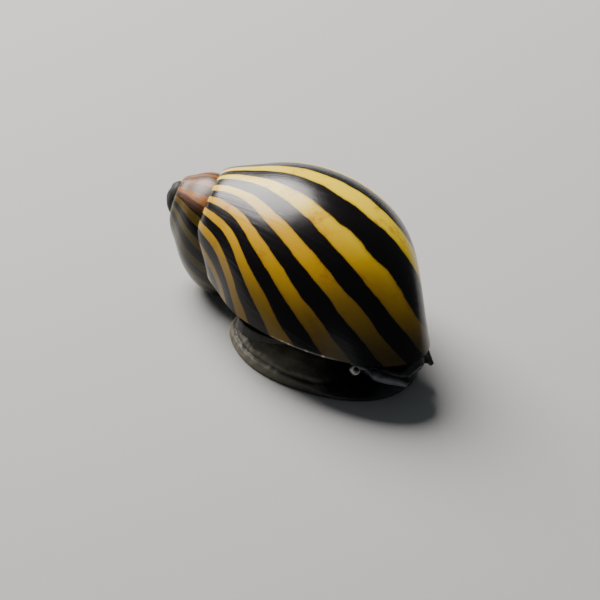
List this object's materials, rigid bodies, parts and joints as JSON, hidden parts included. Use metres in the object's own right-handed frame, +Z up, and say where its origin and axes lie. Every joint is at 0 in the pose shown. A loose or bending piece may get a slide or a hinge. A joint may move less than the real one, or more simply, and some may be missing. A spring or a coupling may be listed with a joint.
{
  "type": "zebra nerite snail",
  "caption": "Crawling freshwater snail with a striped oval shell over a flat dark foot, modelled at life size as a still display piece.",
  "frame": {"origin": "middle of the bounding box at the level of the flat sole", "axes": "+X is the way the snail crawls, +Y its left side, +Z up from the sole"},
  "size_m": [0.0246, 0.0168, 0.0113],
  "materials": {
    "zebra_shell": "glossy shell, black with oblique golden-yellow stripes",
    "worn_tip": "dull worn shell, dark grey",
    "callus": "smooth cream shell",
    "mantle": "moist skin, black",
    "dark_flesh": "moist skin, black to olive grey",
    "operculum_horn": "smooth horny plate, olive grey",
    "eye": "wet black eye"
  },
  "bodies": {
    "root": {"shell_body_whorl": "zebra_shell", "shell_spire": "zebra_shell", "shell_apex": "worn_tip", "shell_columellar_deck": "callus", "mantle_edge": "mantle", "body_column": "dark_flesh", "foot_tail": "dark_flesh", "foot_middle": "dark_flesh", "foot_front": "dark_flesh", "operculum": "operculum_horn", "neck": "dark_flesh", "head": "dark_flesh", "snout": "dark_flesh", "eye_stalk_right": "dark_flesh", "eye_stalk_left": "dark_flesh", "tentacle_right": "dark_flesh", "tentacle_left": "dark_flesh", "eye_right": "eye", "eye_left": "eye"}
  },
  "joints": []
}
